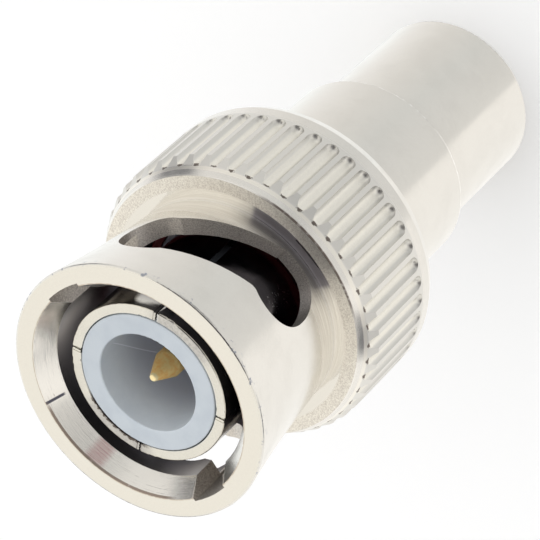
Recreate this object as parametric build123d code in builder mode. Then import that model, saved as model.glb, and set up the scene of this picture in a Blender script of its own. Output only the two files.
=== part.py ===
from build123d import *
import os
from math import cos, pi, radians, sin

os.makedirs("parts", exist_ok=True)

# Driving sizes, in millimetres and degrees.
# The part stands on its closed tail with the mouth up, and its axis is Z.

# Mating space: the jack's barrel slides over the outer contact, inside the nut
contact_radius = 4.05
jack_gap = 0.85

# Tail and neck
tail_length = 8.1
tail_edge = 0.15
tail_wall = 0.66
tail_end_thickness = 1.0
tail_recess_depth = 1.1
disc_ledge = 0.7
neck_length = 7.6
neck_wall = 1.1
neck_shell_wall = 0.62
neck_edge = 0.12
rib_thickness = 1.2
rib_ledge = 0.88

# Plug body
spring_room = 1.02
barrel_wall = 1.28
barrel_in_neck = 3.8
web_thickness = 0.5
flange_thickness = 1.1
collar_wall = 0.42
collar_height = 0.8

# Retaining ring in its groove
ring_thickness = 0.4
ring_width = 1.22
ring_groove_depth = 0.4
ring_gap_angle = 40
ring_clearance = 0.03

# Springs and thrust washer
axial_play = 0.03
wave_height = 0.72
wave_thickness = 0.2
wave_count = 3
points_per_wave = 8
wave_gap = 0.03
spring_fit = 0.18
spring_width = 0.64
washer_thickness = 0.3

# Coupling nut
nut_length = 14.1
counterbore_gap = 0.62
counterbore_depth = 0.95
inner_flange_thickness = 0.92
running_clearance = 0.08
lead_in_width = 0.63
lead_in_depth = 1.0
mouth_wall = 1.0
mouth_edge = 0.12
bell_length = 7.75
waist_wall = 0.7
bell_middle_depth = 3.75
bell_middle_swell = 0.38
grip_wall = 2.46
knurl_chamfer_width = 0.56
knurl_chamfer_length = 1.0
rim_width = 1.27
rim_bevel_width = 0.27
rim_bevel_length = 0.6
rim_edge = 0.1

# Flutes of the knurl
flute_count = 48
first_flute_angle = 4
flute_depth = 0.26
flute_cutter_radius = 0.38

# Bayonet tracks: two alike, half a turn apart, their angles measured back from the entry notch
notch_width = 2.06
channel_depth = 0.78
channel_width = 2.3
channel_step = 0.08
channel_lap_angle = 4
track_width = 3.36
track_lead = 11.9
track_overrun = 0.5
window_start_angle = 29
window_start_depth = 3.97
window_start_radius = 1.73
lap_angle = 1
hump_angle = 79
hump_edge = 0.25
detent_angle = 90
detent_depth = 5.43
pocket_depth = 5.6
pocket_radius = 1.73

# Outer contact
contact_recess = 0.87
contact_wall = 0.52
contact_root_step = 0.17
contact_edge = 0.1
slit_width = 0.3
slit_root = 0.9
slit_count = 4
first_slit_angle = 40

# Gasket
gasket_height = 0.9
gasket_inner_clearance = 0.05
gasket_outer_clearance = 0.15

# Front insulator and rear bead
insulator_clearance = 0.03
insulator_wall = 1.0
insulator_bore_depth = 5.3
insulator_edge = 0.06
insulator_tail_length = 2.6
bead_length = 1.5

# Centre pin
pin_recess = 1.3
pin_radius = 0.675
pin_tip_radius = 0.16
pin_point_length = 1.25
pin_seat_step = 0.17
pin_shoulder_step = 0.2
pin_shoulder_length = 3.0
pin_tail_length = 3.8
pin_clearance = 0.02
cup_wall = 0.4
cup_depth = 1.6

# Resistor and its earth connection
lead_radius = 0.3
lead_gap = 0.15
cup_floor_gap = 0.1
resistor_length = 6.6
core_radius = 1.15
cap_wall = 0.15
cap_length = 1.3
disc_thickness = 0.6
disc_hole_clearance = 0.05
solder_spread = 0.6
solder_height = 0.65

# Radii, from the mating space inwards and outwards
land_radius = contact_radius + jack_gap
contact_inner_radius = contact_radius - contact_wall
contact_root_radius = contact_radius - contact_root_step
collar_radius = contact_root_radius + collar_wall
insulator_radius = contact_inner_radius - insulator_clearance
insulator_bore_radius = insulator_radius - insulator_wall
barrel_radius = land_radius - spring_room
body_bore_radius = barrel_radius - barrel_wall
groove_radius = barrel_radius - ring_groove_depth
ring_outer_radius = groove_radius + ring_width
spring_inner_radius = barrel_radius + spring_fit
spring_outer_radius = spring_inner_radius + spring_width
neck_radius = barrel_radius + neck_wall
tail_radius = neck_radius - neck_shell_wall
tail_bore_radius = tail_radius - tail_wall
tail_recess_radius = tail_bore_radius - disc_ledge
rib_bore_radius = barrel_radius - rib_ledge
counterbore_radius = neck_radius + counterbore_gap
channel_radius = land_radius + channel_depth
mouth_inner_radius = land_radius + lead_in_width
mouth_radius = mouth_inner_radius + mouth_wall
waist_radius = land_radius + waist_wall
bell_middle_radius = waist_radius + bell_middle_swell
knurl_radius = land_radius + grip_wall
knurl_face_radius = knurl_radius - knurl_chamfer_width
pin_seat_radius = pin_radius + pin_seat_step
pin_shoulder_radius = pin_seat_radius + pin_shoulder_step
cup_radius = lead_radius + lead_gap
pin_tail_radius = cup_radius + cup_wall
solder_radius = lead_radius + solder_spread

# Levels along the axis, from the tail's end face up
neck_front = tail_length + neck_length
ring_rear = neck_front + ring_clearance
ring_front = ring_rear + ring_thickness
inner_flange_rear = ring_front + axial_play
inner_flange_front = inner_flange_rear + inner_flange_thickness
washer_rear = inner_flange_front + axial_play
washer_front = washer_rear + washer_thickness
lower_wave_base = washer_front + wave_gap
upper_wave_base = lower_wave_base + wave_height + wave_gap
flange_rear = upper_wave_base + wave_height + wave_gap
flange_front = flange_rear + flange_thickness
web_front = flange_rear + web_thickness
collar_front = flange_front + collar_height
gasket_front = flange_front + gasket_height
nut_rear = inner_flange_rear - counterbore_depth
nut_front = nut_rear + nut_length
knurl_front = nut_front - bell_length
contact_front = nut_front - contact_recess
insulator_bore_floor = contact_front - insulator_bore_depth
insulator_rear = web_front - insulator_tail_length
bead_rear = insulator_rear - bead_length
pin_tip = nut_front - pin_recess
pin_shoulder = insulator_rear + pin_shoulder_length
pin_rear = insulator_rear - pin_tail_length
cup_floor = pin_rear + cup_depth
barrel_rear = neck_front - barrel_in_neck
rib_rear = barrel_rear - rib_thickness
disc_rear = tail_end_thickness + tail_recess_depth
disc_front = disc_rear + disc_thickness
resistor_middle = (pin_rear + disc_front) / 2
resistor_front = resistor_middle + resistor_length / 2
resistor_rear = resistor_middle - resistor_length / 2
front_lead_tip = cup_floor - cup_floor_gap
rear_lead_tip = disc_rear - solder_height


def turned(*outline):
    """Turn a closed outline of (radius, height) points about the axis."""
    with BuildSketch(Plane.XZ) as section:
        with BuildLine():
            Polyline(*outline, close=True)
        make_face()
    revolve(section.sketch, axis=Axis.Z)


def tube(inner, outer, rear, front):
    """Turn a plain ring between two radii and two heights."""
    turned((inner, rear), (outer, rear), (outer, front), (inner, front))


def radial_plane(angle, height):
    """Plane that holds the axis: x points outwards at the angle, y points up."""
    a = radians(angle)
    return Plane(origin=(0, 0, height), x_dir=(cos(a), sin(a), 0), z_dir=(sin(a), -cos(a), 0))


def facing_plane(angle, height):
    """Plane across a radius: its normal points outwards at the angle, x points up."""
    a = radians(angle)
    return Plane(origin=(0, 0, height), x_dir=(0, 0, 1), z_dir=(cos(a), sin(a), 0))


def track_height(angle):
    """Height of the track's middle at an angle measured back from its entry notch."""
    return nut_front - window_start_depth - track_lead * (angle - window_start_angle) / 360


def cut_ramp(entry, first_angle, last_angle, inner, outer, width):
    """Cut a helical stretch of track between two radii, its walls square to the axis."""
    start = entry - last_angle
    bottom = track_height(last_angle)
    rise = track_height(first_angle) - bottom
    middle = (inner + outer) / 2
    course = Edge.make_helix(track_lead, rise, middle, center=(0, 0, bottom)).rotate(Axis.Z, start)
    with BuildSketch(radial_plane(start, bottom)) as section:
        with Locations((middle, 0)):
            Rectangle(outer - inner, width)
    sweep(section.sketch, path=course, is_frenet=True, mode=Mode.SUBTRACT)


def cut_sector(first_angle, last_angle, inner, outer, rear, front):
    """Cut a ring sector between two angles, two radii and two heights."""
    with BuildSketch(radial_plane(first_angle, 0)) as section:
        with BuildLine():
            Polyline((inner, rear), (outer, rear), (outer, front), (inner, front), close=True)
        make_face()
    revolve(section.sketch, axis=Axis.Z, revolution_arc=last_angle - first_angle, mode=Mode.SUBTRACT)


# Coupling nut: bell barrel, bayonet tracks, fluted grip and inner flange, all one piece
track_inner = land_radius - track_overrun
track_outer = knurl_radius + track_overrun
rim_front = (knurl_radius, nut_rear + rim_bevel_length)
rim_rear = (knurl_radius - rim_bevel_width, nut_rear)
with BuildPart() as coupling_nut:
    with BuildSketch(Plane.XZ):
        with BuildLine():
            Polyline(
                (waist_radius, knurl_front),
                (knurl_face_radius, knurl_front),
                (knurl_radius, knurl_front - knurl_chamfer_length),
                rim_front,
                rim_rear,
                (counterbore_radius, nut_rear),
                (counterbore_radius, inner_flange_rear),
                (barrel_radius + running_clearance, inner_flange_rear),
                (barrel_radius + running_clearance, inner_flange_front),
                (land_radius, inner_flange_front),
                (land_radius, nut_front - lead_in_depth),
                (mouth_inner_radius, nut_front),
                (mouth_radius, nut_front),
            )
            ThreePointArc(
                (mouth_radius, nut_front),
                (bell_middle_radius, nut_front - bell_middle_depth),
                (waist_radius, knurl_front),
            )
        outline = make_face()
        rim_corners = [outline.vertices().sort_by_distance(point)[0] for point in (rim_front, rim_rear)]
        fillet(rim_corners, rim_edge)
    revolve(axis=Axis.Z)
    fillet(edges().filter_by(GeomType.CIRCLE).group_by(Axis.Z)[-1].sort_by(SortBy.RADIUS)[-1], mouth_edge)

    # Windows through the wall: round start, ramp, hump, and the pocket that holds the stud
    pocket_floor = nut_front - pocket_depth - pocket_radius
    hump_height = track_height(hump_angle) + track_width / 2
    level_run = track_outer * sin(radians(detent_angle - hump_angle))
    for entry in (0, 180):
        cut_ramp(entry, window_start_angle + lap_angle, hump_angle, track_inner, track_outer, track_width)
        with BuildSketch(facing_plane(entry - window_start_angle, track_height(window_start_angle))):
            Circle(window_start_radius)
        extrude(amount=track_outer, mode=Mode.SUBTRACT)
        with BuildSketch(facing_plane(entry - detent_angle, 0)) as pocket:
            with Locations((nut_front - (detent_depth + pocket_depth) / 2, 0)):
                SlotCenterToCenter(pocket_depth - detent_depth, 2 * pocket_radius)
            with Locations((nut_front - detent_depth, 0)):
                Rectangle(hump_height - nut_front + detent_depth, level_run, align=(Align.MIN, Align.MAX))
            hump = pocket.vertices().group_by(Axis.X)[-1].sort_by(Axis.Y)[-1]
            fillet(hump, hump_edge)
        extrude(amount=track_outer, mode=Mode.SUBTRACT)
        cut_sector(
            entry - detent_angle,
            entry - hump_angle + lap_angle,
            track_inner,
            track_outer,
            pocket_floor,
            nut_front - detent_depth + hump_edge,
        )

    # Inner channels: two straight notches from the mouth, and the way from each into its window
    notch_floor = track_height(0) - channel_width / 2
    with BuildSketch(Plane.XY.offset(notch_floor)):
        Circle(channel_radius)
        Rectangle(2 * track_outer, notch_width, mode=Mode.INTERSECT)
    extrude(amount=nut_front + mouth_edge - notch_floor, mode=Mode.SUBTRACT)
    for entry in (0, 180):
        cut_ramp(
            entry,
            -channel_lap_angle,
            window_start_angle + channel_lap_angle,
            track_inner,
            channel_radius - channel_step,
            channel_width,
        )

    # Flutes: cut by a round-nosed cutter, open at the front and run out before the rim
    flute_end = nut_rear + rim_width + flute_cutter_radius
    cutter_place = knurl_radius - flute_depth + flute_cutter_radius
    with BuildSketch(Plane.XY.offset(flute_end)):
        with PolarLocations(cutter_place, flute_count, start_angle=first_flute_angle):
            Circle(flute_cutter_radius)
    extrude(amount=knurl_front - flute_end, mode=Mode.SUBTRACT)
    with Locations((0, 0, flute_end)):
        with PolarLocations(cutter_place, flute_count, start_angle=first_flute_angle):
            Sphere(flute_cutter_radius, mode=Mode.SUBTRACT)
coupling_nut.part.label = "coupling_nut"
export_step(coupling_nut.part, "parts/coupling_nut.step")

# Plug body: collar, shoulder flange and barrel, with the groove for the retaining ring
with BuildPart() as plug_body:
    turned(
        (body_bore_radius, barrel_rear),
        (barrel_radius, barrel_rear),
        (barrel_radius, ring_rear),
        (groove_radius, ring_rear),
        (groove_radius, ring_front),
        (barrel_radius, ring_front),
        (barrel_radius, flange_rear),
        (land_radius - running_clearance, flange_rear),
        (land_radius - running_clearance, flange_front),
        (collar_radius, flange_front),
        (collar_radius, collar_front),
        (contact_root_radius, collar_front),
        (contact_root_radius, web_front),
        (body_bore_radius, web_front),
    )
plug_body.part.label = "plug_body"
export_step(plug_body.part, "parts/plug_body.step")

# Outer contact: spring sleeve with four sawn slits, its thinner root pressed into the collar
with BuildPart() as outer_contact:
    turned(
        (contact_inner_radius, web_front),
        (contact_root_radius, web_front),
        (contact_root_radius, collar_front),
        (contact_radius, collar_front),
        (contact_radius, contact_front),
        (contact_inner_radius, contact_front),
    )
    fillet(edges().filter_by(GeomType.CIRCLE).group_by(Axis.Z)[-1], contact_edge)
    for k in range(slit_count):
        cut_angle = first_slit_angle + k * 360 / slit_count
        with BuildSketch(facing_plane(cut_angle, collar_front + slit_root)):
            Rectangle(contact_front - collar_front - slit_root, slit_width, align=(Align.MIN, Align.CENTER))
        extrude(amount=contact_radius + slit_width, mode=Mode.SUBTRACT)
outer_contact.part.label = "outer_contact"
export_step(outer_contact.part, "parts/outer_contact.step")

# Gasket: flat silicone ring round the collar, against the flange
with BuildPart() as gasket:
    tube(collar_radius + gasket_inner_clearance, land_radius - gasket_outer_clearance, flange_front, gasket_front)
gasket.part.label = "gasket"
export_step(gasket.part, "parts/gasket.step")

# Front insulator: deep bore in front, a bored step behind that traps the pin's shoulder
with BuildPart() as front_insulator:
    turned(
        (pin_shoulder_radius + pin_clearance, insulator_rear),
        (body_bore_radius - insulator_clearance, insulator_rear),
        (body_bore_radius - insulator_clearance, web_front),
        (insulator_radius, web_front),
        (insulator_radius, contact_front),
        (insulator_bore_radius, contact_front),
        (insulator_bore_radius, insulator_bore_floor),
        (pin_seat_radius + pin_clearance, insulator_bore_floor),
        (pin_seat_radius + pin_clearance, pin_shoulder),
        (pin_shoulder_radius + pin_clearance, pin_shoulder),
    )
    fillet(edges().filter_by(GeomType.CIRCLE).group_by(Axis.Z)[-1], insulator_edge)
front_insulator.part.label = "front_insulator"
export_step(front_insulator.part, "parts/front_insulator.step")

# Rear insulator: bead that closes the body's bore behind the pin's shoulder
with BuildPart() as rear_insulator:
    tube(pin_tail_radius + pin_clearance, body_bore_radius - insulator_clearance, bead_rear, insulator_rear)
rear_insulator.part.label = "rear_insulator"
export_step(rear_insulator.part, "parts/rear_insulator.step")

# Centre pin: pointed shank, trapped shoulder and solder cup
with BuildPart() as centre_pin:
    turned(
        (0, cup_floor),
        (cup_radius, cup_floor),
        (cup_radius, pin_rear),
        (pin_tail_radius, pin_rear),
        (pin_tail_radius, insulator_rear),
        (pin_shoulder_radius, insulator_rear),
        (pin_shoulder_radius, pin_shoulder),
        (pin_seat_radius, pin_shoulder),
        (pin_seat_radius, insulator_bore_floor),
        (pin_radius, insulator_bore_floor),
        (pin_radius, pin_tip - pin_point_length),
        (pin_tip_radius, pin_tip),
        (0, pin_tip),
    )
    fillet(edges().group_by(Axis.Z)[-1], pin_tip_radius / 2)
centre_pin.part.label = "centre_pin"
export_step(centre_pin.part, "parts/centre_pin.step")


def wave_washer(base, turn):
    """Spring ring whose height follows a cosine with three crests round the turn."""
    mean_radius = (spring_inner_radius + spring_outer_radius) / 2
    middle = base + wave_height / 2
    swing = (wave_height - wave_thickness) / 2
    steps = points_per_wave * wave_count
    points = []
    for k in range(steps):
        a = 2 * pi * k / steps
        height = middle + swing * cos(wave_count * a + radians(turn))
        points.append((mean_radius * cos(a), mean_radius * sin(a), height))
    with BuildLine() as course:
        Spline(*points, periodic=True)
    guide = course.edge().moved(Location((0, 0, wave_height)))
    with BuildSketch(radial_plane(0, points[0][2])) as section:
        with Locations((mean_radius, 0)):
            Rectangle(spring_outer_radius - spring_inner_radius, wave_thickness)
    sweep(section.sketch, path=course.edge(), binormal=guide)


# Wave washers: two in a row, the crests of one under the troughs of the other
with BuildPart() as wave_washer_rear:
    wave_washer(lower_wave_base, 0)
wave_washer_rear.part.label = "wave_washer_rear"
export_step(wave_washer_rear.part, "parts/wave_washer_rear.step")

with BuildPart() as wave_washer_front:
    wave_washer(upper_wave_base, 180)
wave_washer_front.part.label = "wave_washer_front"
export_step(wave_washer_front.part, "parts/wave_washer_front.step")

# Thrust washer: flat ring between the springs and the nut's inner flange
with BuildPart() as thrust_washer:
    tube(barrel_radius + running_clearance, land_radius - running_clearance, washer_rear, washer_front)
thrust_washer.part.label = "thrust_washer"
export_step(thrust_washer.part, "parts/thrust_washer.step")

# Retaining ring: open ring snapped into the body's groove behind the nut's flange
with BuildPart() as retaining_ring:
    with BuildSketch(radial_plane(ring_gap_angle / 2, 0)):
        with BuildLine():
            Polyline(
                (groove_radius, ring_rear),
                (ring_outer_radius, ring_rear),
                (ring_outer_radius, ring_front),
                (groove_radius, ring_front),
                close=True,
            )
        make_face()
    revolve(axis=Axis.Z, revolution_arc=360 - ring_gap_angle)
retaining_ring.part.label = "retaining_ring"
export_step(retaining_ring.part, "parts/retaining_ring.step")

# Rear shell: the smooth neck, screwed on the barrel, with a rib that the tail stops against
with BuildPart() as rear_shell:
    turned(
        (tail_radius, tail_length),
        (neck_radius, tail_length),
        (neck_radius, neck_front),
        (barrel_radius, neck_front),
        (barrel_radius, barrel_rear),
        (rib_bore_radius, barrel_rear),
        (rib_bore_radius, rib_rear),
        (tail_radius, rib_rear),
    )
    outer_rims = edges().filter_by(GeomType.CIRCLE).group_by(SortBy.RADIUS)[-1]
    fillet(outer_rims, neck_edge)
rear_shell.part.label = "rear_shell"
export_step(rear_shell.part, "parts/rear_shell.step")

# End cap: the closed tail, pressed into the neck
with BuildPart() as end_cap:
    turned(
        (0, 0),
        (tail_radius, 0),
        (tail_radius, rib_rear),
        (tail_bore_radius, rib_rear),
        (tail_bore_radius, disc_rear),
        (tail_recess_radius, disc_rear),
        (tail_recess_radius, tail_end_thickness),
        (0, tail_end_thickness),
    )
    fillet(edges().filter_by(GeomType.CIRCLE).group_by(Axis.Z)[0], tail_edge)
end_cap.part.label = "end_cap"
export_step(end_cap.part, "parts/end_cap.step")

# Resistor: ceramic rod with a metal cap pressed on each end
with BuildPart() as resistor_core:
    with BuildSketch(Plane.XY.offset(resistor_rear + cap_wall)):
        Circle(core_radius)
    extrude(amount=resistor_length - 2 * cap_wall)
resistor_core.part.label = "resistor_core"
export_step(resistor_core.part, "parts/resistor_core.step")


def resistor_cap(closed_end, open_end, floor):
    """Turn a cup from its closed end to its open end, round the end of the core."""
    outer = core_radius + cap_wall
    turned(
        (0, closed_end),
        (outer, closed_end),
        (outer, open_end),
        (core_radius, open_end),
        (core_radius, floor),
        (0, floor),
    )


with BuildPart() as resistor_cap_front:
    resistor_cap(resistor_front, resistor_front - cap_length, resistor_front - cap_wall)
resistor_cap_front.part.label = "resistor_cap_front"
export_step(resistor_cap_front.part, "parts/resistor_cap_front.step")

with BuildPart() as resistor_cap_rear:
    resistor_cap(resistor_rear, resistor_rear + cap_length, resistor_rear + cap_wall)
resistor_cap_rear.part.label = "resistor_cap_rear"
export_step(resistor_cap_rear.part, "parts/resistor_cap_rear.step")

# Leads: one into the pin's cup, one through the ground disc
with BuildPart() as resistor_lead_front:
    with BuildSketch(Plane.XY.offset(resistor_front)):
        Circle(lead_radius)
    extrude(amount=front_lead_tip - resistor_front)
resistor_lead_front.part.label = "resistor_lead_front"
export_step(resistor_lead_front.part, "parts/resistor_lead_front.step")

with BuildPart() as resistor_lead_rear:
    with BuildSketch(Plane.XY.offset(rear_lead_tip)):
        Circle(lead_radius)
    extrude(amount=resistor_rear - rear_lead_tip)
resistor_lead_rear.part.label = "resistor_lead_rear"
export_step(resistor_lead_rear.part, "parts/resistor_lead_rear.step")

# Solder in the pin's cup, round the front lead
with BuildPart() as solder_front:
    tube(lead_radius, cup_radius, pin_rear, front_lead_tip)
solder_front.part.label = "solder_front"
export_step(solder_front.part, "parts/solder_front.step")

# Ground disc: rests on the step in the tail and takes the rear lead
with BuildPart() as ground_disc:
    tube(lead_radius + disc_hole_clearance, tail_bore_radius, disc_rear, disc_front)
ground_disc.part.label = "ground_disc"
export_step(ground_disc.part, "parts/ground_disc.step")

# Solder bead on the back of the ground disc, round the rear lead
with BuildPart() as solder_rear:
    turned(
        (lead_radius, disc_rear),
        (solder_radius, disc_rear),
        (lead_radius, rear_lead_tip),
    )
solder_rear.part.label = "solder_rear"
export_step(solder_rear.part, "parts/solder_rear.step")
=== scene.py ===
from math import cos, radians, sin

import bpy
import numpy as np
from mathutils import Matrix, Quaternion, Vector


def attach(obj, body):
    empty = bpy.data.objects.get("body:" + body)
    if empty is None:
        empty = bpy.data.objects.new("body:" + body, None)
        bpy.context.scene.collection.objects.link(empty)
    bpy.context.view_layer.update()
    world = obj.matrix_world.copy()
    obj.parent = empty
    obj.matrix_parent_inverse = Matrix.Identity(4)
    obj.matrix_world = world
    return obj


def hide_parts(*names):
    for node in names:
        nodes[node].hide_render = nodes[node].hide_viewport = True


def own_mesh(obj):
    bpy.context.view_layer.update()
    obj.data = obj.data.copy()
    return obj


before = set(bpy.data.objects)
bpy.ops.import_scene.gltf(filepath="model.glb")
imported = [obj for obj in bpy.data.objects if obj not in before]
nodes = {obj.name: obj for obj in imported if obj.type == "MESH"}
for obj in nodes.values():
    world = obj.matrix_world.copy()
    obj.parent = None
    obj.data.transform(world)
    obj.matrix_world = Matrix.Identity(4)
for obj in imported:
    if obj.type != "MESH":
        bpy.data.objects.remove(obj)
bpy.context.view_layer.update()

# Camera: looks down into the mouth from the side of one bayonet window, rolled so that the mouth
# points to the lower left. It is a long lens, standing about ten lengths of the part away.
MM = 0.001
camera_aim = Vector((-0.078, -0.015, 17.94)) * MM
camera_azimuth = radians(-79.01)
camera_elevation = radians(45.17)
camera_distance = 144.07 * MM
camera_roll = radians(-133.34)
camera_back = Vector((
    cos(camera_azimuth) * cos(camera_elevation),
    sin(camera_azimuth) * cos(camera_elevation),
    sin(camera_elevation),
))
camera_data = bpy.data.cameras.new("camera")
camera_data.lens = 205.57
camera_data.sensor_width = 36
camera_data.clip_start, camera_data.clip_end = 0.01, 10
camera = bpy.data.objects.new("camera", camera_data)
camera.location = camera_aim + camera_back * camera_distance
camera.rotation_mode = "QUATERNION"
camera.rotation_quaternion = (-camera_back).to_track_quat("-Z", "Y") @ Quaternion((0, 0, 1), camera_roll)
bpy.context.scene.collection.objects.link(camera)
bpy.context.scene.camera = camera
bpy.context.scene.view_settings.view_transform = "Standard"


# Floor: a white paper sheet that the part stands on, tail down. It keeps the part's soft shadow,
# and the plating looks past it at the studio's panels, as metal does in a light tent.
floor_half = 0.5
floor_corners = [(x * floor_half, y * floor_half, 0) for x, y in ((-1, -1), (1, -1), (1, 1), (-1, 1))]
floor_mesh = bpy.data.meshes.new("floor")
floor_mesh.from_pydata(floor_corners, [], [(0, 1, 2, 3)])
floor = bpy.data.objects.new("floor", floor_mesh)
bpy.context.scene.collection.objects.link(floor)
floor.visible_glossy = False
floor_white = bpy.data.materials.new("floor_white")
floor_white.use_nodes = True
floor_mesh.materials.append(floor_white)
paper = floor_white.node_tree
paper_shader = paper.nodes["Principled BSDF"]
paper_grain = paper.nodes.new("ShaderNodeTexNoise")
paper_grain.inputs["Scale"].default_value = 900
paper_bump = paper.nodes.new("ShaderNodeBump")
paper_bump.inputs["Strength"].default_value = 0.02
paper_bump.inputs["Distance"].default_value = 0.0001
paper_place = paper.nodes.new("ShaderNodeTexCoord")
paper.links.new(paper_place.outputs["Object"], paper_grain.inputs["Vector"])
paper.links.new(paper_grain.outputs["Fac"], paper_bump.inputs["Height"])
paper.links.new(paper_bump.outputs["Normal"], paper_shader.inputs["Normal"])
paper_shader.inputs["Base Color"].default_value = (0.98, 0.98, 0.98, 1)
paper_shader.inputs["Roughness"].default_value = 0.9
# Seen straight by the camera, the paper is lifted a little towards white.
paper_ray = paper.nodes.new("ShaderNodeLightPath")
paper_lift = paper.nodes.new("ShaderNodeMath")
paper_lift.operation = "MULTIPLY"
paper_lift.inputs[1].default_value = 0.06
paper.links.new(paper_ray.outputs["Is Camera Ray"], paper_lift.inputs[0])
paper_shader.inputs["Emission Color"].default_value = (1, 1, 1, 1)
paper.links.new(paper_lift.outputs[0], paper_shader.inputs["Emission Strength"])


# Studio: a white light tent. The camera and the plastics see plain white. The plating sees the
# tent's panels: a warm white one, a grey one with a sharp edge beside it, a cool white one, the
# dark opening that the lens looks through, and four low grey cards that shape the metal's sides.
def link_in(tree, socket, value):
    """Sets the socket to the value, or joins it to the value where that is another node's socket."""
    if isinstance(value, bpy.types.NodeSocket):
        tree.links.new(value, socket)
    else:
        socket.default_value = value


def sum_of(tree, kind, *terms, clamp=False):
    """A Math node of that kind over the terms, each a number or a socket; gives its output.

    MULTIPLY_ADD takes three terms: the first times the second, plus the third.
    """
    node = tree.nodes.new("ShaderNodeMath")
    node.operation = kind
    node.use_clamp = clamp
    for socket, term in zip(node.inputs, terms):
        link_in(tree, socket, term)
    return node.outputs[0]


def fade(tree, value, low, high, to_low=0.0, to_high=1.0):
    """Goes smoothly from to_low where the value is at low, to to_high where it is at high.

    Low may be the greater of the two: then the result falls as the value rises.
    """
    node = tree.nodes.new("ShaderNodeMapRange")
    node.interpolation_type = "SMOOTHSTEP"
    terms = {"Value": value, "From Min": low, "From Max": high, "To Min": to_low, "To Max": to_high}
    for name, term in terms.items():
        link_in(tree, node.inputs[name], term)
    return node.outputs[0]


def product(tree, *masks):
    """Where all the masks are: their values multiplied together."""
    result = masks[0]
    for mask in masks[1:]:
        result = sum_of(tree, "MULTIPLY", result, mask)
    return result


def blend_colours(tree, factor, first, second):
    """The first colour where the factor is 0, the second where it is 1."""
    node = tree.nodes.new("ShaderNodeMix")
    node.data_type = "RGBA"
    link_in(tree, node.inputs["Factor"], factor)
    for socket, colour in ((node.inputs[6], first), (node.inputs[7], second)):
        link_in(tree, socket, colour if isinstance(colour, bpy.types.NodeSocket) else (*colour, 1))
    return node.outputs[2]


studio = bpy.data.worlds.new("studio")
bpy.context.scene.world = studio
studio.use_nodes = True
tent = studio.node_tree
way = tent.nodes.new("ShaderNodeTexCoord").outputs["Generated"]
way_parts = tent.nodes.new("ShaderNodeSeparateXYZ")
tent.links.new(way, way_parts.inputs[0])
way_x, way_y, way_z = way_parts.outputs
way_turn = sum_of(tent, "ARCTAN2", way_y, way_x)
grey_panel_edge = radians(-121)
past_edge = sum_of(tent, "SUBTRACT", way_turn, grey_panel_edge)
round_tent = sum_of(tent, "FRACT", sum_of(tent, "DIVIDE", past_edge, radians(360)))
panels = tent.nodes.new("ShaderNodeValToRGB")
tent.links.new(round_tent, panels.inputs[0])
# Where each panel's colour stands round the tent, from 0 at the grey panel's edge to 1 back there.
panel_stops = [
    (0.000, (0.85, 0.835, 0.808)),
    (0.100, (0.815, 0.805, 0.785)),
    (0.189, (0.785, 0.785, 0.768)),
    (0.306, (0.857, 0.838, 0.810)),
    (0.372, (0.940, 0.920, 0.893)),
    (0.439, (1.009, 0.989, 0.970)),
    (0.506, (1.070, 1.075, 1.065)),
    (0.572, (1.090, 1.110, 1.105)),
    (0.640, (1.080, 1.065, 1.035)),
    (0.988, (1.090, 1.060, 1.020)),
    (0.998, (0.85, 0.835, 0.808)),
]
while len(panels.color_ramp.elements) < len(panel_stops):
    panels.color_ramp.elements.new(1)
for stop, (place, colour) in zip(panels.color_ramp.elements, panel_stops):
    stop.position, stop.color = place, (*colour, 1)
roof_warm = (1.04, 1.01, 0.94)
roof = fade(tent, way_z, 0.36, 0.55)
all_round = blend_colours(tent, roof, panels.outputs[0], roof_warm)
card_grey = (0.24, 0.24, 0.25)
card_count = 4.0
card_wave = sum_of(tent, "SINE", sum_of(tent, "MULTIPLY", way_turn, card_count))
card_heights = fade(tent, way_z, -0.52, -0.32), fade(tent, way_z, 0.20, 0.06)
cards = product(tent, fade(tent, card_wave, 0.25, 0.85), *card_heights)
all_round = blend_colours(tent, cards, all_round, card_grey)
lens_way = tent.nodes.new("ShaderNodeVectorMath")
lens_way.operation = "DOT_PRODUCT"
tent.links.new(way, lens_way.inputs[0])
lens_way.inputs[1].default_value = camera_back
opening_dark = (0.035, 0.03, 0.04)
opening_outer, opening_inner = cos(radians(41)), cos(radians(37))
opening = fade(tent, lens_way.outputs["Value"], opening_outer, opening_inner)
opening = product(tent, opening, fade(tent, way_z, 0.40, 0.50))
seen_by_metal = blend_colours(tent, opening, all_round, opening_dark)
# The plain light comes a little more from one side, which shades the insulator's bore.
side_share = 0.45
side_way = sum_of(tent, "SUBTRACT", way_x, sum_of(tent, "MULTIPLY", way_y, 0.2))
side_light = sum_of(tent, "MULTIPLY_ADD", side_way, side_share, 1.0)
plain_light = tent.nodes["Background"]
metal_light = tent.nodes.new("ShaderNodeBackground")
tent.links.new(seen_by_metal, metal_light.inputs["Color"])
ray = tent.nodes.new("ShaderNodeLightPath")
side_light = blend_colours(tent, ray.outputs["Is Camera Ray"], side_light, (1, 1, 1))
tent.links.new(side_light, plain_light.inputs["Color"])
choose = tent.nodes.new("ShaderNodeMixShader")
tent.links.new(ray.outputs["Is Glossy Ray"], choose.inputs[0])
tent.links.new(plain_light.outputs[0], choose.inputs[1])
tent.links.new(metal_light.outputs[0], choose.inputs[2])
tent.links.new(choose.outputs[0], tent.nodes["World Output"].inputs["Surface"])


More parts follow.
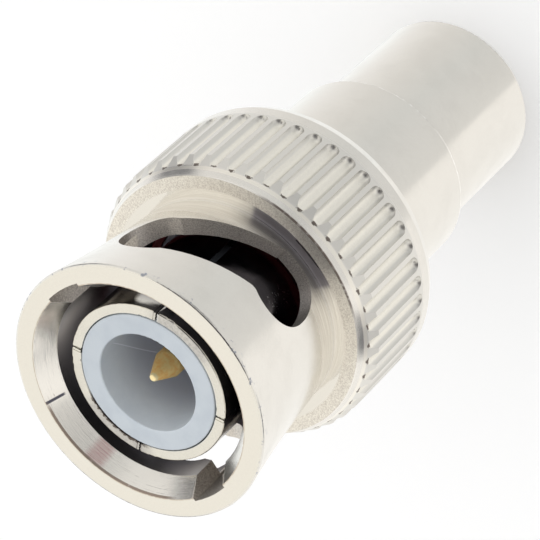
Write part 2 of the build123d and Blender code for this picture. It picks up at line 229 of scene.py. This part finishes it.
# Coupling nut: turned from brass bar, knurled, milled for the two bayonet slots and plated with
# satin nickel. The tool left fine rings round the axis, and the plating is a little cloudy.
def new_group(name, inputs, outputs):
    """A shader node group with those input (name, kind, default) and output (name, kind) sockets.

    Gives the group, its input node and its output node.
    """
    group = bpy.data.node_groups.new(name, "ShaderNodeTree")
    for socket, kind, default in inputs:
        made = group.interface.new_socket(socket, in_out="INPUT", socket_type=kind)
        made.default_value = default
    for socket, kind in outputs:
        group.interface.new_socket(socket, in_out="OUTPUT", socket_type=kind)
    return group, group.nodes.new("NodeGroupInput"), group.nodes.new("NodeGroupOutput")


def noise(tree, place, scale, detail=2.0, roughness=0.5):
    """Noise of that scale over the place; gives its output."""
    node = tree.nodes.new("ShaderNodeTexNoise")
    link_in(tree, node.inputs["Vector"], place)
    link_in(tree, node.inputs["Scale"], scale)
    node.inputs["Detail"].default_value = detail
    node.inputs["Roughness"].default_value = roughness
    return node.outputs["Fac"]


def outside(tree, mask):
    """Where the mask isn't: one less the mask."""
    return sum_of(tree, "SUBTRACT", 1.0, mask)


def between(tree, value, low, high, soft):
    """1 where the value is between low and high, falling to 0 over the soft width outside them."""
    return product(tree, fade(tree, value, low - soft, low), fade(tree, value, high + soft, high))


# Lathe place: distance from the axis and height in millimetres, the turn in degrees, how far the
# surface faces away from the axis and up it, and the place along the tool's rings.
lathe_numbers = ["Radius", "Height", "Turn", "Facing Out", "Facing Up"]
lathe_places = ["Place", "Ring Place"]
lathe_sockets = [(name, "NodeSocketFloat") for name in lathe_numbers]
lathe_sockets += [(name, "NodeSocketVector") for name in lathe_places]
lathe_place, _, lathe_out = new_group("lathe_place", [], lathe_sockets)
spot = lathe_place.nodes.new("ShaderNodeTexCoord")
in_mm = lathe_place.nodes.new("ShaderNodeVectorMath")
in_mm.operation = "SCALE"
lathe_place.links.new(spot.outputs["Object"], in_mm.inputs[0])
in_mm.inputs["Scale"].default_value = 1 / MM
spot_parts = lathe_place.nodes.new("ShaderNodeSeparateXYZ")
lathe_place.links.new(in_mm.outputs[0], spot_parts.inputs[0])
facing_parts = lathe_place.nodes.new("ShaderNodeSeparateXYZ")
lathe_place.links.new(spot.outputs["Normal"], facing_parts.inputs[0])
across_x, across_y, along_z = spot_parts.outputs
facing_x, facing_y, facing_up = facing_parts.outputs
y_squared = sum_of(lathe_place, "MULTIPLY", across_y, across_y)
from_axis = sum_of(lathe_place, "SQRT", sum_of(lathe_place, "MULTIPLY_ADD", across_x, across_x, y_squared))
turned = sum_of(lathe_place, "MULTIPLY", sum_of(lathe_place, "ARCTAN2", across_y, across_x), 57.29578)
# Facing out is the part of the surface's direction that points straight away from the axis.
facing_out = sum_of(lathe_place, "MULTIPLY", across_y, facing_y)
facing_out = sum_of(lathe_place, "MULTIPLY_ADD", across_x, facing_x, facing_out)
facing_out = sum_of(lathe_place, "DIVIDE", facing_out, sum_of(lathe_place, "MAXIMUM", from_axis, 0.001))
# A ring place hardly changes with the turn, so noise over it draws long rings round the axis.
along_ring = sum_of(lathe_place, "MULTIPLY", turned, 0.0012)
ring_place = lathe_place.nodes.new("ShaderNodeCombineXYZ")
for socket, value in zip(ring_place.inputs, (from_axis, along_z, along_ring)):
    lathe_place.links.new(value, socket)
lathe_values = (from_axis, along_z, turned, facing_out, facing_up, in_mm.outputs[0], ring_place.outputs[0])
for socket, value in zip(lathe_out.inputs, lathe_values):
    lathe_place.links.new(value, socket)


# Turned plating: rings left by the tool, faint clouds in the plating, pits and specks. It gives
# the colour, the roughness and the height of the surface.
turned_plating, plating_in, plating_out = new_group(
    "turned_plating",
    [
        ("Bright", "NodeSocketColor", (0.8, 0.785, 0.745, 1)),
        ("Dull", "NodeSocketColor", (0.70, 0.68, 0.64, 1)),
        ("Polish", "NodeSocketFloat", 0.16),
        ("Haze", "NodeSocketFloat", 0.12),
        ("Rings", "NodeSocketFloat", 0.5),
        ("Orange Peel", "NodeSocketFloat", 0.5),
    ],
    [("Colour", "NodeSocketColor"), ("Roughness", "NodeSocketFloat"), ("Height", "NodeSocketFloat")],
)
plating_at = turned_plating.nodes.new("ShaderNodeGroup")
plating_at.node_tree = lathe_place
plating_spot = plating_at.outputs["Place"]
given = plating_in.outputs
rings = noise(turned_plating, plating_at.outputs["Ring Place"], 9.0, 3.0, 0.7)
clouds = noise(turned_plating, plating_spot, 0.55, 4.0, 0.6)
peel = noise(turned_plating, plating_spot, 3.2, 2.0, 0.5)
grit = noise(turned_plating, plating_spot, 13.0, 2.0, 0.6)
specks = fade(turned_plating, noise(turned_plating, plating_spot, 4.0, 3.0, 0.7), 0.70, 0.76)
cloud_tone = fade(turned_plating, clouds, 0.40, 0.75, 0.0, 0.22)
grit_tone = fade(turned_plating, grit, 0.35, 0.8, 0.0, 0.28)
tone = sum_of(turned_plating, "ADD", cloud_tone, grit_tone)
tone = sum_of(turned_plating, "MULTIPLY_ADD", specks, 0.7, tone, clamp=True)
plating_colour = blend_colours(turned_plating, tone, given["Bright"], given["Dull"])
haze = fade(turned_plating, clouds, 0.35, 0.65)
rough = sum_of(turned_plating, "MULTIPLY_ADD", haze, given["Haze"], given["Polish"])
ring_change = sum_of(turned_plating, "SUBTRACT", rings, 0.5)
rough = sum_of(turned_plating, "MULTIPLY_ADD", ring_change, 0.12, rough, clamp=True)
lift = sum_of(turned_plating, "MULTIPLY", rings, given["Rings"])
lift = sum_of(turned_plating, "MULTIPLY_ADD", peel, given["Orange Peel"], lift)
for name, value in (("Colour", plating_colour), ("Roughness", rough), ("Height", lift)):
    turned_plating.links.new(value, plating_out.inputs[name])


def use_group(tree, group, **values):
    """Places the group in the tree with those input values, and gives its outputs.

    A space in an input's name is written as _.
    """
    node = tree.nodes.new("ShaderNodeGroup")
    node.node_tree = group
    for name, value in values.items():
        link_in(tree, node.inputs[name.replace("_", " ")], value)
    return node.outputs


def finish(name, pieces, metal=0.0):
    """A new material on all those nodes; gives its tree and its Principled shader."""
    made = bpy.data.materials.new(name)
    made.use_nodes = True
    for piece in pieces:
        for slot in nodes[piece].material_slots:
            slot.material = made
    shader = made.node_tree.nodes["Principled BSDF"]
    shader.inputs["Metallic"].default_value = metal
    return made.node_tree, shader


def lay(tree, shader, colour, roughness, height, depth, strength):
    """Joins the colour, the roughness and a bump of that depth in micrometres to the shader."""
    link_in(tree, shader.inputs["Base Color"], colour)
    link_in(tree, shader.inputs["Roughness"], roughness)
    bump = tree.nodes.new("ShaderNodeBump")
    bump.inputs["Strength"].default_value = strength
    bump.inputs["Distance"].default_value = depth * MM / 1000
    tree.links.new(height, bump.inputs["Height"])
    tree.links.new(bump.outputs["Normal"], shader.inputs["Normal"])


mouth_top = 29.31
lead_in_root = 28.32
grip_face = 21.6
nut, nut_shader = finish("nut_nickel", ["coupling_nut"], metal=1.0)
nut_plating = use_group(nut, turned_plating, Polish=0.17, Haze=0.08, Rings=0.3, Orange_Peel=0.5)
nut_at = use_group(nut, lathe_place)
nut_r, nut_z, nut_turn = nut_at["Radius"], nut_at["Height"], nut_at["Turn"]
nut_rings = noise(nut, nut_at["Ring Place"], 26.0, 2.0, 0.8)
nut_grain = noise(nut, nut_at["Place"], 17.0, 3.0, 0.75)
nut_blots = noise(nut, nut_at["Place"], 3.0, 3.0, 0.6)
nut_colour, nut_rough = nut_plating["Colour"], nut_plating["Roughness"]
looks_in = fade(nut, nut_at["Facing Out"], -0.3, -0.6)
looks_up = fade(nut, nut_at["Facing Up"], 0.9, 0.97)

# Milled walls of the slots and notches: a coarse cut, only thinly plated.
from_notch = sum_of(nut, "PINGPONG", nut_turn, 90.0)
notch_cut = product(nut, fade(nut, from_notch, 12.2, 11.5), fade(nut, nut_r, 5.76, 5.72))
notch_cut = product(nut, notch_cut, fade(nut, nut_z, 24.2, 24.4))
sideways = outside(nut, fade(nut, sum_of(nut, "ABSOLUTE", nut_at["Facing Out"]), 0.4, 0.62))
under_mouth = fade(nut, nut_z, mouth_top - 0.04, mouth_top - 0.11)
wall_cut = product(nut, sideways, fade(nut, nut_z, grip_face + 0.03, grip_face + 0.12), under_mouth)
milled = sum_of(nut, "MAXIMUM", wall_cut, notch_cut)
milled_colour = blend_colours(nut, fade(nut, nut_grain, 0.3, 0.72), (0.48, 0.44, 0.41), (0.90, 0.86, 0.80))

# Bore: painted shade, darker down the bore and a little lighter again towards its bottom.
bore = product(nut, looks_in, fade(nut, nut_z, lead_in_root + 0.04, lead_in_root - 0.06))
bore_shade_colour = blend_colours(nut, fade(nut, nut_z, 28.3, 26.4), (0.38, 0.365, 0.37), (0.15, 0.145, 0.165))
bore_shade_colour = blend_colours(nut, fade(nut, nut_z, 26.0, 24.5), bore_shade_colour, (0.33, 0.325, 0.365))

# Lead-in of the mouth: scored by the jacks that it has taken, with one dark line across it, a red
# painted reflection of the gasket and a line of painted shade along its outer edge.
above_root = fade(nut, nut_z, lead_in_root - 0.04, lead_in_root + 0.04)
lead_in = product(nut, looks_in, above_root, outside(nut, notch_cut))
scores = product(nut, fade(nut, nut_rings, 0.60, 0.68), fade(nut, nut_blots, 0.4, 0.6))
dark_cross_line = product(nut, between(nut, nut_turn, 73.9, 74.9, 0.5), fade(nut, nut_r, 4.95, 5.05))
# Painted reflection: streaks of red where the gasket would be mirrored.
gasket_reflection = product(nut, between(nut, nut_turn, 107.5, 112.5, 5.0), fade(nut, nut_rings, 0.35, 0.7, 0.45, 0.9))
# Painted shade: a dark line along the lead-in's outer edge, on one side only.
lead_in_edge_shade = product(nut, between(nut, nut_r, 5.47, 5.53, 0.02), between(nut, nut_turn, 80.0, 152.0, 8.0))
lead_in_edge_shade = product(nut, lead_in_edge_shade, fade(nut, nut_blots, 0.2, 0.4, 0.3, 1.0))
lead_colour = (0.85, 0.83, 0.785)
for mark, mark_colour in (
    (scores, (0.50, 0.47, 0.44)),
    (dark_cross_line, (0.09, 0.09, 0.115)),
    (gasket_reflection, (0.55, 0.34, 0.335)),
    (lead_in_edge_shade, (0.33, 0.27, 0.23)),
):
    lead_colour = blend_colours(nut, mark, lead_colour, mark_colour)

# Mouth face: faced last, creamy, with a brown line of dirt along its inner edge.
mouth_face = product(nut, looks_up, fade(nut, nut_z, mouth_top - 0.11, mouth_top - 0.03))
mouth_colour = blend_colours(nut, fade(nut, nut_grain, 0.3, 0.75), (0.84, 0.815, 0.755), (0.79, 0.765, 0.71))
lip_dirt = product(nut, fade(nut, nut_r, 5.59, 5.56), fade(nut, nut_blots, 0.3, 0.55, 0.15, 0.8))
mouth_colour = blend_colours(nut, lip_dirt, mouth_colour, (0.50, 0.42, 0.34))

# Nicks on the mouth's outer edge, where the part has been dropped.
lip_nicks = product(nut, fade(nut, nut_z, 28.8, 29.1), fade(nut, nut_r, 6.38, 6.46))
lip_nicks = product(nut, lip_nicks, fade(nut, nut_blots, 0.60, 0.66))

# Front face of the grip: polished next to the waist, frosted outside that, with dirt at its edge.
# One stretch of the polished band is painted dark, a painted reflection of the dark opening.
front_face = product(nut, looks_up, fade(nut, nut_z, grip_face + 0.10, grip_face + 0.02))
front_face = product(nut, front_face, fade(nut, nut_z, grip_face - 0.30, grip_face - 0.10))
frosted = product(nut, front_face, fade(nut, nut_r, 6.12, 6.17))
frost_colour = blend_colours(nut, fade(nut, nut_grain, 0.34, 0.66), (0.66, 0.62, 0.57), (0.97, 0.94, 0.87))
polished = product(nut, front_face, outside(nut, frosted))
# Painted reflection of the dark opening on the polished band.
opening_reflection_band = between(nut, nut_turn, -101.0, -57.0, 3.0)
polished_colour = blend_colours(nut, opening_reflection_band, (0.80, 0.78, 0.74), (0.36, 0.345, 0.375))
edge_dirt = product(nut, between(nut, nut_r, 6.79, 6.83, 0.025), between(nut, nut_turn, -108.0, -66.0, 14.0))
edge_dirt = product(nut, edge_dirt, between(nut, nut_z, grip_face - 0.3, grip_face, 0.05))
edge_dirt = product(nut, edge_dirt, fade(nut, nut_blots, 0.25, 0.5, 0.45, 1.0))

# Waist: its rings are deeper, because the tool chattered against the grip. A painted highlight, a
# bright line, runs in its corner with the grip.
looks_out = fade(nut, nut_at["Facing Out"], 0.7, 0.9)
waist = product(nut, between(nut, nut_z, grip_face + 0.02, 22.7, 0.25), looks_out)
corner_highlight = between(nut, nut_z, grip_face + 0.01, grip_face + 0.08, 0.02)
corner_highlight = product(nut, corner_highlight, fade(nut, nut_r, 5.7, 5.66))
waist_colour = blend_colours(nut, fade(nut, nut_rings, 0.4, 0.65), (0.82, 0.79, 0.74), (1.0, 0.98, 0.93))

# Flutes: rolled rough and bright, between duller lands.
first_flute_turn, half_flute_pitch, mm_a_degree = 4.0, 3.75, 0.128
flute_front, flute_end = 21.03, 16.58
flute_turn = sum_of(nut, "PINGPONG", sum_of(nut, "SUBTRACT", nut_turn, first_flute_turn), half_flute_pitch)
flute_across = sum_of(nut, "MULTIPLY", flute_turn, mm_a_degree)
on_grip = product(nut, fade(nut, nut_r, 6.9, 6.95), fade(nut, nut_z, 21.4, 21.3))
flute_bottom = between(nut, nut_z, flute_end + 0.12, flute_front - 0.05, 0.10)
flute = product(nut, fade(nut, flute_across, 0.27, 0.16), flute_bottom, on_grip)
lands = product(nut, between(nut, nut_z, flute_end - 0.13, flute_front - 0.01, 0.10), on_grip)
flute_colour = blend_colours(nut, fade(nut, nut_grain, 0.3, 0.75), (0.97, 0.95, 0.88), (0.88, 0.86, 0.80))

# Each flute has a nick of dirty burr at its front and a dark dot of painted shade where it runs out,
# both on the flute's middle line. The noise changes the width and the length of each nick.
nick_width = fade(nut, nut_grain, 0.3, 0.7, 0.07, 0.30)
nick_length = fade(nut, nut_blots, 0.35, 0.65, 0.04, 0.12)
nick_across = sum_of(nut, "DIVIDE", flute_across, nick_width)
nick_along = sum_of(nut, "DIVIDE", sum_of(nut, "SUBTRACT", nut_z, flute_front), nick_length)
nick = sum_of(nut, "MULTIPLY_ADD", nick_across, nick_across, sum_of(nut, "MULTIPLY", nick_along, nick_along))
nick = product(nut, fade(nut, nick, 1.0, 0.5), on_grip)
runout_shade_along = sum_of(nut, "SUBTRACT", nut_z, flute_end)
runout_shade = sum_of(nut, "MULTIPLY_ADD", flute_across, flute_across, sum_of(nut, "MULTIPLY", runout_shade_along, runout_shade_along))
runout_shade = product(nut, fade(nut, runout_shade, 0.003, 0.001), on_grip, fade(nut, nut_blots, 0.40, 0.65, 0.0, 0.7))
# Painted highlight: a bright cream line round the grip just in front of the nicks.
front_highlight_line = product(nut, between(nut, nut_z, 21.10, 21.24, 0.03), fade(nut, nut_r, 6.85, 6.9))

# Each finish covers those above it: its mask, its colour and its roughness.
for mask, colour, rough in (
    (waist, waist_colour, 0.34),
    (frosted, frost_colour, 0.46),
    (polished, polished_colour, 0.06),
    (corner_highlight, (0.97, 0.95, 0.92), 0.45),
    (lands, (0.775, 0.765, 0.73), 0.42),
    (flute, flute_colour, 0.48),
    (front_highlight_line, (0.90, 0.87, 0.80), 0.30),
    (nick, (0.22, 0.19, 0.17), 0.5),
    (runout_shade, (0.25, 0.23, 0.22), 0.5),
    (edge_dirt, (0.20, 0.17, 0.15), 0.5),
    (bore, bore_shade_colour, 0.30),
    (milled, milled_colour, 0.45),
    (lead_in, lead_colour, 0.22),
    (mouth_face, mouth_colour, 0.32),
    (lip_nicks, (0.40, 0.42, 0.47), 0.4),
):
    nut_colour = blend_colours(nut, mask, nut_colour, colour)
    nut_rough = sum_of(nut, "MULTIPLY_ADD", mask, sum_of(nut, "SUBTRACT", rough, nut_rough), nut_rough)
# The milled and frosted faces are grainy, and the waist and the lead-in are ringed.
grainy = sum_of(nut, "MAXIMUM", milled, sum_of(nut, "MAXIMUM", frosted, product(nut, flute, 0.3)))
nut_lift = sum_of(nut, "MULTIPLY_ADD", product(nut, grainy, nut_grain), 1.2, nut_plating["Height"])
ringed = sum_of(nut, "MAXIMUM", product(nut, waist, 1.2), product(nut, lead_in, 0.5))
nut_lift = sum_of(nut, "MULTIPLY_ADD", ringed, nut_rings, nut_lift)
lay(nut, nut_shader, nut_colour, nut_rough, nut_lift, depth=10, strength=0.4)


# Neck and tail: a turned tube and the closed cap pressed into it, plated as the nut is. The neck's
# rear edge catches the light as a thin broken line.
shell, shell_shader = finish("shell_nickel", ["rear_shell", "end_cap"], metal=1.0)
shell_plating = use_group(shell, turned_plating, Polish=0.14, Haze=0.06, Rings=0.2, Orange_Peel=0.7)
shell_at = use_group(shell, lathe_place)
shell_blots = noise(shell, shell_at["Place"], 6.0, 3.0, 0.7)
step_edge = product(
    shell, between(shell, shell_at["Height"], 8.12, 8.22, 0.03), fade(shell, shell_at["Radius"], 4.8, 4.85),
    fade(shell, shell_blots, 0.35, 0.6),
)
shell_colour = blend_colours(shell, step_edge, shell_plating["Colour"], (1.0, 0.99, 0.97))
shell_rough, shell_lift = shell_plating["Roughness"], shell_plating["Height"]
lay(shell, shell_shader, shell_colour, shell_rough, shell_lift, depth=8, strength=0.35)


# Plug body: turned brass that only shows deep in the mouth and the slots. Its dark grey colour is
# painted shade.
def plate(tree, shader, bright, dull, polish, haze, rings, orange_peel, depth, strength):
    """Lays turned plating of that bright and that dull colour all over the piece."""
    plating = use_group(
        tree, turned_plating, Bright=(*bright, 1), Dull=(*dull, 1), Polish=polish, Haze=haze,
        Rings=rings, Orange_Peel=orange_peel,
    )
    lay(tree, shader, plating["Colour"], plating["Roughness"], plating["Height"], depth, strength)


body, body_shader = finish("body_nickel", ["plug_body"], metal=1.0)
plate(
    body, body_shader, bright=(0.38, 0.37, 0.40), dull=(0.27, 0.26, 0.29), polish=0.2, haze=0.1,
    rings=0.4, orange_peel=0.4, depth=10, strength=0.4,
)


# Slotted contact: a sleeve of spring bronze under bright nickel, in the mouth. It is painted darker
# towards its root as painted shade, darker in two places as a painted reflection of the dark opening,
# and a few filings cling to its side.
contact, contact_shader = finish("contact_nickel", ["outer_contact"], metal=1.0)
contact_plating = use_group(
    contact, turned_plating, Bright=(0.77, 0.755, 0.70, 1), Dull=(0.62, 0.60, 0.56, 1),
    Polish=0.14, Haze=0.12, Rings=0.5, Orange_Peel=0.4,
)
contact_at = use_group(contact, lathe_place)
contact_r, contact_z, contact_turn = contact_at["Radius"], contact_at["Height"], contact_at["Turn"]
contact_grain = noise(contact, contact_at["Place"], 6.0, 4.0, 0.7)
filing_spots = noise(contact, contact_at["Place"], 9.0, 2.0)

# Painted reflection of the dark opening, in two stretches round the contact.
lens_reflection_near = between(contact, contact_turn, -88.0, -56.0, 16.0)
lens_reflection_far = between(contact, contact_turn, 88.0, 132.0, 14.0)
lens_reflection = sum_of(contact, "ADD", lens_reflection_near, lens_reflection_far)
lens_reflection = product(contact, lens_reflection, fade(contact, contact_grain, 0.3, 0.7, 0.5, 0.95))
# Painted shade: darker towards the root.
root_shade = fade(contact, contact_z, 28.36, 26.9)
# Painted shade: the slits' walls are painted near black towards the root.
slit_wall_shade = fade(contact, sum_of(contact, "ABSOLUTE", contact_at["Facing Out"]), 0.6, 0.4)
slit_wall_shade = product(contact, slit_wall_shade, fade(contact, contact_z, 27.2, 26.6))
filings = fade(contact, filing_spots, 0.58, 0.66)
filings = product(contact, filings, between(contact, contact_z, 22.0, 23.1, 0.3))
filings = product(contact, filings, between(contact, contact_turn, -102.0, -93.0, 4.0))

# Crack: painted shade, a dark broken line between the contact's inner edge and the insulator.
crack_reach = sum_of(contact, "MULTIPLY_ADD", contact_grain, 0.5, contact_r)
crack_turn = between(contact, contact_turn, 84.0, 130.0, 10.0)
crack_shade = product(contact, fade(contact, crack_reach, 3.91, 3.86), crack_turn)

contact_colour, contact_rough = contact_plating["Colour"], contact_plating["Roughness"]
for mark, mark_colour in (
    (lens_reflection, (0.46, 0.45, 0.45)),
    (root_shade, (0.185, 0.18, 0.20)),
    (slit_wall_shade, (0.03, 0.03, 0.04)),
    (filings, (0.95, 0.97, 1.0)),
    (crack_shade, (0.13, 0.11, 0.10)),
):
    contact_colour = blend_colours(contact, mark, contact_colour, mark_colour)
contact_lift = sum_of(contact, "MULTIPLY_ADD", crack_shade, contact_grain, contact_plating["Height"])
lay(contact, contact_shader, contact_colour, contact_rough, contact_lift, depth=12, strength=0.5)


# Saw burrs: when the contact was slit, the saw rolled a sliver of metal into each slit from both
# of its sides. They nearly close the slits at the front.
slit_angles = np.radians(40 + 90 * np.arange(4))
burr_sides = (-1.0, 1.0)
steps_along, steps_around = 25, 12
burr_root, burr_length = 3.56, 0.46
burr_middle, burr_half_height = 27.86, 0.56
squareness = 0.35
all_along = np.linspace(0, 1, steps_along)
all_around = np.arange(steps_around) / steps_around * 2 * np.pi
slit, side, along, around = np.meshgrid(slit_angles, burr_sides, all_along, all_around, indexing="ij")
# Each sliver is a closed tube along the radius. Its section is a squared ellipse, its inner edge
# wanders as a sum of sines along the radius, and its two ends shrink to a point.
end_shrink = np.where((along == 0) | (along == 1), 0.0, 1.0)
wander = 0.009 * np.sin(17 * along + 5 * slit * side) + 0.006 * np.sin(41 * along + 3 * slit)
edge_near, edge_far = 0.022 + wander, 0.215
squared_cos = np.sign(np.cos(around)) * np.abs(np.cos(around)) ** squareness
squared_sin = np.sign(np.sin(around)) * np.abs(np.sin(around)) ** squareness
off = side * ((edge_near + edge_far) / 2 + (edge_far - edge_near) / 2 * squared_cos * end_shrink)
rise = side * burr_half_height * squared_sin * end_shrink
out = burr_root + burr_length * along
burr_x = out * np.cos(slit) - off * np.sin(slit)
burr_y = out * np.sin(slit) + off * np.cos(slit)
burr_points = np.stack([burr_x, burr_y, burr_middle + rise], -1).reshape(-1, 3) * MM
burr_grid = np.arange(burr_points.shape[0]).reshape(slit.shape)
next_around = np.roll(burr_grid, -1, axis=3)
burr_faces = np.stack(
    [burr_grid[:, :, :-1], next_around[:, :, :-1], next_around[:, :, 1:], burr_grid[:, :, 1:]], -1
).reshape(-1, 4)
burr_mesh = bpy.data.meshes.new("slit_burrs")
burr_mesh.from_pydata(burr_points.tolist(), [], burr_faces.tolist())
burr_mesh.materials.append(nodes["outer_contact"].material_slots[0].material)
slit_burrs = bpy.data.objects.new("slit_burrs", burr_mesh)
bpy.context.scene.collection.objects.link(slit_burrs)
weld = slit_burrs.modifiers.new("weld", "WELD")
weld.merge_threshold = 0.001 * MM
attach(slit_burrs, "plug")


# Front and rear insulators: moulded from pale bluish plastic, matt, with painted shade making them
# a little darker down the bore. One bright hair of flash lies along the bore's wall.
plastic, plastic_shader = finish("insulator_plastic", ["front_insulator", "rear_insulator"])
plastic_at = use_group(plastic, lathe_place)
plastic_mottle = noise(plastic, plastic_at["Place"], 1.1, 3.0)
plastic_r, plastic_z, plastic_turn = plastic_at["Radius"], plastic_at["Height"], plastic_at["Turn"]
plastic_tone = fade(plastic, plastic_mottle, 0.35, 0.7)
plastic_colour = blend_colours(plastic, plastic_tone, (0.585, 0.635, 0.68), (0.545, 0.595, 0.645))
insulator_bore_shade = product(plastic, fade(plastic, plastic_z, 27.4, 24.9), fade(plastic, plastic_r, 2.62, 2.52))
plastic_colour = blend_colours(plastic, insulator_bore_shade, plastic_colour, (0.46, 0.495, 0.57))

# Hair of flash: a straight line on the unrolled bore, which sinks by a set height each degree.
hair_start_turn, hair_start_height, hair_sink = 30.0, 27.54, -0.0556
hair_turn = sum_of(plastic, "SUBTRACT", plastic_turn, hair_start_turn)
hair_height = sum_of(plastic, "MULTIPLY_ADD", hair_turn, hair_sink, hair_start_height)
hair_off = sum_of(plastic, "ABSOLUTE", sum_of(plastic, "SUBTRACT", plastic_z, hair_height))
hair = product(
    plastic, fade(plastic, hair_off, 0.05, 0.02), between(plastic, plastic_turn, 33.0, 82.0, 5.0),
    fade(plastic, plastic_r, 2.55, 2.52), 0.8,
)
plastic_colour = blend_colours(plastic, hair, plastic_colour, (0.80, 0.83, 0.92))
plastic_grain = noise(plastic, plastic_at["Place"], 14.0, 3.0, 0.6)
plastic_rough = fade(plastic, plastic_mottle, 0.3, 0.7, 0.4, 0.55)
plastic_shader.inputs["Specular IOR Level"].default_value = 0.35
lay(plastic, plastic_shader, plastic_colour, plastic_rough, plastic_grain, depth=10, strength=0.2)


# Centre pin: turned brass under gold, with a painted highlight making its round tip lighter.
gold, gold_shader = finish("pin_gold", ["centre_pin"], metal=1.0)
gold_at = use_group(gold, lathe_place)
gold_mottle = noise(gold, gold_at["Place"], 3.2, 4.0, 0.65)
gold_colour = blend_colours(gold, fade(gold, gold_mottle, 0.38, 0.68), (1.0, 0.74, 0.32), (0.95, 0.60, 0.22))
# Painted highlight: the tip is painted a lighter gold.
gold_colour = blend_colours(gold, fade(gold, gold_at["Height"], 27.84, 27.92), gold_colour, (1.0, 0.86, 0.52))
gold_rough = fade(gold, gold_mottle, 0.3, 0.7, 0.50, 0.66)
lay(gold, gold_shader, gold_colour, gold_rough, gold_mottle, depth=20, strength=0.4)


# Gasket: a dark red silicone ring at the bottom of the ring-shaped gap, a little dusty.
silicone, silicone_shader = finish("gasket_silicone", ["gasket"])
silicone_at = use_group(silicone, lathe_place)
silicone_dust = noise(silicone, silicone_at["Place"], 2.5, 4.0, 0.6)
dusty = fade(silicone, silicone_dust, 0.5, 0.75)
silicone_colour = blend_colours(silicone, dusty, (0.20, 0.012, 0.014), (0.27, 0.05, 0.05))
silicone_rough = fade(silicone, silicone_dust, 0.3, 0.7, 0.35, 0.6)
lay(silicone, silicone_shader, silicone_colour, silicone_rough, silicone_dust, depth=20, strength=0.3)


# Springs, washer and snap ring: stamped from bright spring steel strip and rolled across.
steel_pieces = ["wave_washer_front", "wave_washer_rear", "thrust_washer", "retaining_ring"]
steel, steel_shader = finish("spring_steel", steel_pieces, metal=1.0)
plate(
    steel, steel_shader, bright=(0.62, 0.62, 0.62), dull=(0.48, 0.48, 0.49), polish=0.25, haze=0.15,
    rings=0.8, orange_peel=0.3, depth=10, strength=0.4,
)


# Wave springs: the two rings of spring steel between the body's collar and the thrust washer. They
# flatten towards the collar as the nut is pulled forward, so they stand in for the stiff washers.
spring_inner, spring_outer = 4.06, 4.70
strip_half_thickness = 0.10
spring_half_height, spring_swing = 0.36, 0.26
crests = 3
spring_steps = 120
for spring_name, washer_name, spring_base, crest_turn in (
    ("wave_spring_rear", "wave_washer_rear", 17.44, 0.0),
    ("wave_spring_front", "wave_washer_front", 18.19, np.pi),
):
    # A flat rectangle carried round the axis, whose height follows a cosine with three crests a turn.
    spring_turn = (np.arange(spring_steps) / spring_steps * 2 * np.pi)[:, None]
    spring_r = np.array([spring_inner, spring_outer, spring_outer, spring_inner])[None, :]
    strip_face = np.array([-1, -1, 1, 1])[None, :] * strip_half_thickness
    spring_wave = spring_swing * np.cos(crests * spring_turn + crest_turn)
    spring_middle = spring_base + spring_half_height + spring_wave
    spring_x, spring_y = spring_r * np.cos(spring_turn), spring_r * np.sin(spring_turn)
    spring_points = np.stack([spring_x, spring_y, spring_middle + strip_face], -1).reshape(-1, 3) * MM
    spring_grid = np.arange(spring_points.shape[0]).reshape(spring_steps, 4)
    next_turn, next_corner = np.roll(spring_grid, -1, axis=0), np.roll(spring_grid, -1, axis=1)
    next_both = np.roll(next_turn, -1, axis=1)
    spring_faces = np.stack([spring_grid, next_turn, next_both, next_corner], -1).reshape(-1, 4)
    spring_mesh = bpy.data.meshes.new(spring_name)
    spring_mesh.from_pydata(spring_points.tolist(), [], spring_faces.tolist())
    spring_mesh.materials.append(nodes["thrust_washer"].material_slots[0].material)
    wave_spring = bpy.data.objects.new(spring_name, spring_mesh)
    bpy.context.scene.collection.objects.link(wave_spring)
    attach(wave_spring, "plug")
    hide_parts(washer_name)
    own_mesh(wave_spring)


# Resistor: a ceramic rod in blue lacquer, between pressed and tinned caps with tinned leads.
lacquer, lacquer_shader = finish("resistor_lacquer", ["resistor_core"])
lacquer_at = use_group(lacquer, lathe_place)
lacquer_mottle = noise(lacquer, lacquer_at["Place"], 3.0, 3.0)
lacquer_colour = blend_colours(lacquer, lacquer_mottle, (0.26, 0.38, 0.56), (0.38, 0.50, 0.66))
lacquer_rough = fade(lacquer, lacquer_mottle, 0.3, 0.7, 0.25, 0.45)
lay(lacquer, lacquer_shader, lacquer_colour, lacquer_rough, lacquer_mottle, depth=30, strength=0.4)
tinned_pieces = ["resistor_cap_front", "resistor_cap_rear", "resistor_lead_front", "resistor_lead_rear"]
tinned, tinned_shader = finish("tinned_metal", tinned_pieces, metal=1.0)
plate(
    tinned, tinned_shader, bright=(0.74, 0.74, 0.72), dull=(0.60, 0.60, 0.60), polish=0.28, haze=0.2,
    rings=0.3, orange_peel=0.8, depth=10, strength=0.4,
)


# Solder: dull tin in the pin's cup and on the earth disc, frosted where it set.
solder, solder_shader = finish("solder_tin", ["solder_front", "solder_rear"], metal=1.0)
solder_at = use_group(solder, lathe_place)
solder_frost = noise(solder, solder_at["Place"], 8.0, 4.0, 0.7)
solder_colour = blend_colours(solder, solder_frost, (0.62, 0.63, 0.64), (0.78, 0.79, 0.80))
solder_rough = fade(solder, solder_frost, 0.3, 0.7, 0.3, 0.55)
lay(solder, solder_shader, solder_colour, solder_rough, solder_frost, depth=30, strength=0.5)


# Earth disc: turned from plain brass, browned where it was soldered.
brass, brass_shader = finish("disc_brass", ["ground_disc"], metal=1.0)
plate(
    brass, brass_shader, bright=(0.80, 0.63, 0.33), dull=(0.58, 0.40, 0.20), polish=0.22, haze=0.2,
    rings=0.9, orange_peel=0.3, depth=10, strength=0.5,
)
